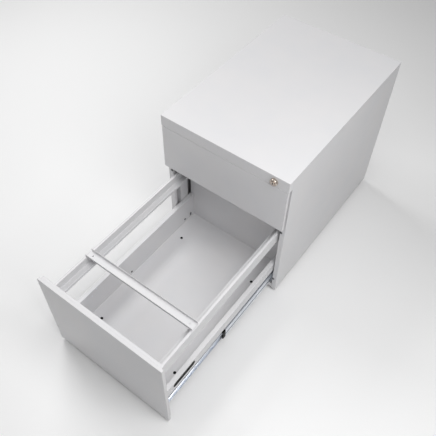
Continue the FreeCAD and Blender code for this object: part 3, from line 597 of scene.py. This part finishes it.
def roll_runners():
    """The three channels of the four runners."""
    kinds = (("cabinet", CABINET_SECTION), ("middle", MIDDLE_SECTION),
             ("drawer", DRAWER_SECTION))
    for drawer in DRAWERS:
        for hand, side in SIDES:
            for kind, section in kinds:
                name = f"{drawer}_{hand}_{kind}_runner"
                low, high = box_of(name)
                level = (low.z + high.z) / 2
                shape = channel(section, side, level, low.y, high.y)
                piece = bevelled(f"{name}_rolled", shape, ZINC, 0.2 * MM, 2, False)
                if kind == "middle":
                    # the groove's faces are painted near black, as painted shade
                    paint_groove_shade(piece, side, level)
                stands_for(piece, BODY_OF[name], SLOT_OF[name], name)


# ---------------------------------------------------------------- repeated parts

def new_group(name, inputs):
    """A geometry node group with named inputs, and the sockets that those inputs come from."""
    group = bpy.data.node_groups.new(name, "GeometryNodeTree")
    face = group.interface
    face.new_socket("Geometry", in_out="INPUT", socket_type="NodeSocketGeometry")
    for label, kind in inputs:
        face.new_socket(label, in_out="INPUT", socket_type=kind)
    face.new_socket("Geometry", in_out="OUTPUT", socket_type="NodeSocketGeometry")
    return group, add(group, "NodeGroupInput").outputs


def run_group(item, group, values):
    """Set a group's inputs on a piece and apply it."""
    modifier = item.modifiers.new(group.name, "NODES")
    modifier.node_group = group
    for socket in group.interface.items_tree:
        if socket.in_out == "INPUT" and socket.name in values:
            modifier[socket.identifier] = values[socket.name]
    return as_plain_mesh(item)


def joined(tree, *parts):
    """Join geometry."""
    join = add(tree, "GeometryNodeJoinGeometry")
    for part in parts:
        tree.links.new(part, join.inputs["Geometry"])
    return join.outputs["Geometry"]


def both_sides(tree, points_or_parts):
    """A copy turned over about the Y axis, so that the right-hand ones also stand at the left."""
    over = add(tree, "GeometryNodeTransform",
               {"Geometry": points_or_parts, "Rotation": (0, math.pi, 0)})
    return joined(tree, points_or_parts, over.outputs["Geometry"])


def ball_group():
    """Rows of balls, two at each side, beside the strips that keep them apart."""
    inputs = (("Balls in a row", "NodeSocketInt"), ("Pitch", "NodeSocketFloat"),
              ("Ball radius", "NodeSocketFloat"), ("First ball", "NodeSocketVector"),
              ("Row height", "NodeSocketFloat"), ("Level", "NodeSocketFloat"))
    group, given = new_group("ball rows", inputs)
    pitch = add(group, "ShaderNodeCombineXYZ", {"Y": given["Pitch"]})
    up = add(group, "ShaderNodeCombineXYZ", {"Z": given["Row height"]})
    twice = add(group, "ShaderNodeVectorMath", {0: up.outputs[0], "Scale": -2.0},
                operation="SCALE")
    first = add(group, "ShaderNodeVectorMath", {0: given["First ball"], 1: up.outputs[0]},
                operation="ADD")
    line = add(group, "GeometryNodeMeshLine",
               {"Count": given["Balls in a row"], "Start Location": first.outputs[0],
                "Offset": pitch.outputs[0]})
    lower = add(group, "GeometryNodeTransform",
                {"Geometry": line.outputs["Mesh"], "Translation": twice.outputs[0]})
    rows = both_sides(group, joined(group, line.outputs["Mesh"], lower.outputs["Geometry"]))
    level = add(group, "ShaderNodeCombineXYZ", {"Z": given["Level"]})
    raised = add(group, "GeometryNodeTransform",
                 {"Geometry": rows, "Translation": level.outputs[0]})
    ball = add(group, "GeometryNodeMeshUVSphere",
               {"Segments": 20, "Rings": 12, "Radius": given["Ball radius"]})
    balls = add(group, "GeometryNodeInstanceOnPoints",
                {"Points": raised.outputs["Geometry"], "Instance": ball.outputs["Mesh"]})
    whole = add(group, "GeometryNodeRealizeInstances", {"Geometry": balls.outputs[0]})
    smooth = add(group, "GeometryNodeSetShadeSmooth", {"Geometry": whole.outputs[0]})
    finish = add(group, "GeometryNodeSetMaterial",
                 {"Geometry": smooth.outputs[0], "Material": BALL_STEEL})
    add(group, "NodeGroupOutput",
        {"Geometry": joined(group, given["Geometry"], finish.outputs["Geometry"])})
    return group


# Ball cages, in mm: height of the rows of balls and depth of the web of each kind of cage, how
# deep the flanges reach and how thick the strip is, and the balls themselves.
CAGE_KINDS = {"outer": (19.35, 1.45), "inner": (14.25, 3.65)}
CAGE_REACH = 9.6
CAGE_STEEL = 0.5
BALL_RADIUS = 1.6
BALL_DEPTH = 7
BALL_PITCH = 22
BALL_MARGIN = 11
BALLS_IN_ROW = 10


def cage_strip(low, high, row, web, side, level):
    """The thin steel channel that keeps the balls of one side apart."""
    top = row + CAGE_STEEL / 2
    under = top - CAGE_STEEL
    back = web + CAGE_STEEL
    outside = ((CAGE_REACH, top), (web, top), (web, -top), (CAGE_REACH, -top))
    inside = ((CAGE_REACH, under), (back, under), (back, -under), (CAGE_REACH, -under))
    return channel((outside, inside), side, level, low.y, high.y)


def fit_cages():
    """Ball cages between the channels."""
    group = ball_group()
    for drawer in DRAWERS:
        for kind, (row, web) in CAGE_KINDS.items():
            name = f"{drawer}_{kind}_ball_cages"
            low, high = box_of(name)
            level = (low.z + high.z) / 2
            strips = merged([cage_strip(low, high, row, web, side, level)
                             for _, side in SIDES])
            piece = bevelled(f"{name}_fitted", strips, ZINC, 0.08 * MM, 1, False)
            first = (POST_FACE - BALL_DEPTH * MM, low.y + BALL_MARGIN * MM, 0)
            run_group(piece, group, {"Balls in a row": BALLS_IN_ROW, "Pitch": BALL_PITCH * MM,
                                     "Ball radius": BALL_RADIUS * MM, "First ball": first,
                                     "Row height": row * MM, "Level": level})
            stands_for(piece, BODY_OF[name], SLOT_OF[name], name)


def fastener_group():
    """A fastener set on each point, and turned over for the left side."""
    inputs = (("Fastener", "NodeSocketObject"), ("Level", "NodeSocketFloat"),
              ("Finish", "NodeSocketMaterial"))
    group, given = new_group("fasteners on both sides", inputs)
    part = add(group, "GeometryNodeObjectInfo", {"Object": given["Fastener"]})
    copies = add(group, "GeometryNodeInstanceOnPoints",
                 {"Points": given["Geometry"], "Instance": part.outputs["Geometry"]})
    both = both_sides(group, copies.outputs["Instances"])
    level = add(group, "ShaderNodeCombineXYZ", {"Z": given["Level"]})
    raised = add(group, "GeometryNodeTransform",
                 {"Geometry": both, "Translation": level.outputs[0]})
    whole = add(group, "GeometryNodeRealizeInstances", {"Geometry": raised.outputs[0]})
    finish = add(group, "GeometryNodeSetMaterial",
                 {"Geometry": whole.outputs[0], "Material": given["Finish"]})
    add(group, "NodeGroupOutput", {"Geometry": finish.outputs["Geometry"]})
    return group


# Turned outlines of the fasteners, in mm: distance behind the seat of the head, and radius.
LOW_HEAD = ((-0.6, 1.0), (-0.6, 2.6), (-0.45, 3.2), (-0.15, 3.5), (0, 3.5), (0, 2), (1.9, 2),
            (2.2, 1.7))
SUNK_HEAD = ((0, 1.0), (0, 3.4), (0.15, 3.5), (1.2, 2.3), (1.3, 2), (4.5, 2), (5, 1.5))
RIVET = ((-0.8, 0.6), (-0.7, 1.3), (-0.4, 2.0), (0, 2.3), (0.6, 2.3), (0.9, 2.0))
# The cross recess: how long and how wide its arms are.
RECESS_LONG = 3.4
RECESS_WIDE = 0.75
# Where fasteners sit, in mm. Drawer sides: how far out they are, then height and places along Y.
SIDE_FACE = 168
DRAWER_SCREWS = {"lower": (50, (-721, -514, -259)), "upper": (356, (-240, -33, 222))}
# Runner screws: how far out their seats are, their places along Y, and their heights.
RUNNER_SCREW_SEAT = 180.5
RUNNER_SCREW_ROWS = (-240, 201)
RUNNER_LEVELS = {"lower": 57, "upper": 363}
# Rivets of the filing drawer's low sides: place along Y and height.
SIDE_RIVETS = (("high", -648, 126), ("low", -668, 112))


def fastener(name, profile, recess):
    """A turned fastener lying along X with its head to the middle, and a cross recess."""
    piece = mesh_object(name, turned(profile, (0, 0, 0), (1, 0, 0), points=32))
    arms = ((RECESS_LONG, RECESS_WIDE), (RECESS_WIDE, RECESS_LONG)) if recess else ()
    for wide, tall in arms:
        cutter = bmesh.new()
        bmesh.ops.create_cube(cutter, size=1)
        bmesh.ops.scale(cutter, vec=(recess * MM, wide * MM, tall * MM), verts=cutter.verts)
        bmesh.ops.translate(cutter, vec=(profile[0][0] * MM, 0, 0), verts=cutter.verts)
        tool = mesh_object("recess", cutter)
        cut = piece.modifiers.new("recess", "BOOLEAN")
        cut.operation = "DIFFERENCE"
        cut.object = tool
        as_plain_mesh(piece)
        bpy.data.objects.remove(tool)
    return piece


def drive(name, group, part, finish, places, level):
    """Set a fastener at (x, y) places in mm on the right at one height, and on the left."""
    points = bmesh.new()
    for x, y in places:
        points.verts.new((x * MM, y * MM, 0))
    piece = mesh_object(name, points)
    return run_group(piece, group, {"Fastener": part, "Level": level * MM, "Finish": finish})


def fit_fasteners():
    """Screws of the drawers and runners and rivets of the low sides."""
    group = fastener_group()
    low_head = fastener("low-head screw", LOW_HEAD, 0.9)
    sunk_head = fastener("countersunk screw", SUNK_HEAD, 1.6)
    rivet = fastener("rivet", RIVET, 0)
    for drawer, (level, rows) in DRAWER_SCREWS.items():
        name = f"{drawer}_drawer_screws"
        piece = drive(f"{name}_driven", group, low_head, SCREW,
                      [(SIDE_FACE, row) for row in rows], level)
        stands_for(piece, BODY_OF[name], SLOT_OF[name], name)
    for drawer, level in RUNNER_LEVELS.items():
        piece = drive(f"{drawer}_runner_screws", group, sunk_head, ZINC,
                      [(RUNNER_SCREW_SEAT, row) for row in RUNNER_SCREW_ROWS], level)
        stands_for(piece, "cabinet", "zinc_plated_steel", "runner_screws")
    for label, row, level in SIDE_RIVETS:
        piece = drive(f"{label}_side_rivets", group, rivet, ZINC, [(SIDE_FACE, row)], level)
        stands_for(piece, "lower_drawer", "zinc_plated_steel")
    for part in (low_head, sunk_head, rivet):
        bpy.data.objects.remove(part)


# ---------------------------------------------------------------- lock, covers and feet

# Where the middle of the lock's opening is.
LOCK_FACE = (157 * MM, FRONT, 484 * MM)
# How high the undersides of the drawer floors are, and where their round holes are, in mm.
FLOOR_HOLE_X = 135
FLOOR_HOLES = {"lower": (37, (-679, -318)), "upper": (343, (-198, 163))}
FLOOR_STEEL = 1
# How far from the middle the feet stand, in mm.
FOOT_X = 165
FOOT_Y = 255
# Each end of an oblong is drawn in this many steps.
END_STEPS = 12


def turn_lock_housing():
    """The lock's cylinder, turned with a rounded rim and a sunk ring round the plug."""
    profile = ((-7.3, 5.5), (-7.7, 5.8), (-7.7, 6.8), (-8, 7.2), (-7.9, 8.6), (-7.4, 9.5),
               (-6.5, 10.2), (-5.4, 10.5), (-0.3, 10.5), (0, 10.2), (0, 8), (21.6, 8),
               (22, 7.6), (22, 5.9), (21.6, 5.5))
    shape = turned(profile, LOCK_FACE, (0, 1, 0), closed=True, points=72)
    piece = bevelled("lock_housing_turned", shape, NICKEL, 0.1 * MM, 1, False)
    stands_for(piece, "cabinet", "nickel", "lock_housing")


def oblong(low, high, inset, x):
    """An outline with round ends, some way inside a box, at a place along X."""
    radius = (high.z - low.z) / 2 - inset
    middle = (low.z + high.z) / 2
    ring = []
    for end, start in ((high.y - inset - radius, -90), (low.y + inset + radius, 90)):
        for step in range(END_STEPS + 1):
            angle = math.radians(start + step * 180 / END_STEPS)
            ring.append(Vector((x, end + radius * math.cos(angle),
                                middle + radius * math.sin(angle))))
    return ring


def mould_covers():
    """Covers pressed into the openings of the drawer sides: a rim round a sunk face."""
    for drawer in DRAWERS:
        name = f"{drawer}_slot_covers"
        low, high = box_of(name)
        face = high.x
        layers = ((face - 1.3 * MM, 0), (face - 0.2 * MM, 0), (face, 0.2), (face, 1.0),
                  (face - 0.25 * MM, 1.2), (face - 0.9 * MM, 1.5))
        shapes = [lofted([oblong(low, high, inset * MM, x * side) for x, inset in layers])
                  for _, side in SIDES]
        piece = bevelled(f"{name}_moulded", merged(shapes), PLASTIC, 0.1 * MM, 1, False)
        stands_for(piece, BODY_OF[name], "black_plastic", name)


def shade_floor_holes():
    """Black turned discs in the round holes of the drawer floors, as painted shade for the dark
    seen through the holes.
    """
    shade_disc = ((-0.8, 3.2), (0.1, 3.4), (0.1, 4.3), (0.4, 4.3), (0.7, 3.6), (0.9, 2.2))
    for drawer, (height, rows) in FLOOR_HOLES.items():
        centres = [Vector((FLOOR_HOLE_X * side, row, height + FLOOR_STEEL)) * MM
                   for _, side in SIDES for row in rows]
        shapes = [turned(shade_disc, centre, (0, 0, 1), points=32) for centre in centres]
        piece = bevelled(f"{drawer}_floor_buttons", merged(shapes), PLASTIC, 0.1 * MM, 1, False)
        stands_for(piece, f"{drawer}_drawer", "black_plastic")


def mould_feet():
    """Levelling feet: grooved pads of black plastic under threaded zinc-plated stems."""
    pad = ((0, 14.8), (0.8, 16), (2.6, 16), (3.0, 15.4), (3.6, 15.4), (4.0, 15.6), (5.0, 14.0),
           (7.4, 7.4), (8, 6.6))
    root, crest, pitch, turns = 3.4, 4, 1.22, 19
    thread = [(8, root)]
    for turn in range(turns):
        low = 8.4 + turn * pitch
        thread += [(low, root), (low + 0.5, crest), (low + 0.7, crest), (low + 1.2, root)]
    thread.append((32, 3.1))
    centres = [(x * MM, y * MM, 0) for x in (-FOOT_X, FOOT_X) for y in (-FOOT_Y, FOOT_Y)]
    pads = merged([turned(pad, centre, (0, 0, 1), points=64) for centre in centres])
    stems = merged([turned(thread, centre, (0, 0, 1), points=32) for centre in centres])
    piece = bevelled("foot_pads", pads, PLASTIC, 0.2 * MM, 1, False)
    stands_for(piece, "cabinet", "black_plastic", "levelling_feet")
    stands_for(mesh_object("foot_stems", stems, ZINC), "cabinet", "zinc_plated_steel",
               "levelling_feet")


for sheet_name, sheet_slot in SLOT_OF.items():
    if sheet_slot == "grey_powder_coat":
        press(sheet_name)
roll_runners()
fit_cages()
fit_fasteners()
turn_lock_housing()
mould_covers()
# black discs in the floor holes are painted shade for the dark seen through them
shade_floor_holes()
mould_feet()
for eased_name, eased_radius in EASED.items():
    ease(eased_name, eased_radius * MM)

for node_name, node_object in NODES.items():
    node_object.data.materials.clear()
    node_object.data.materials.append(FINISH_OF_SLOT[SLOT_OF[node_name]])
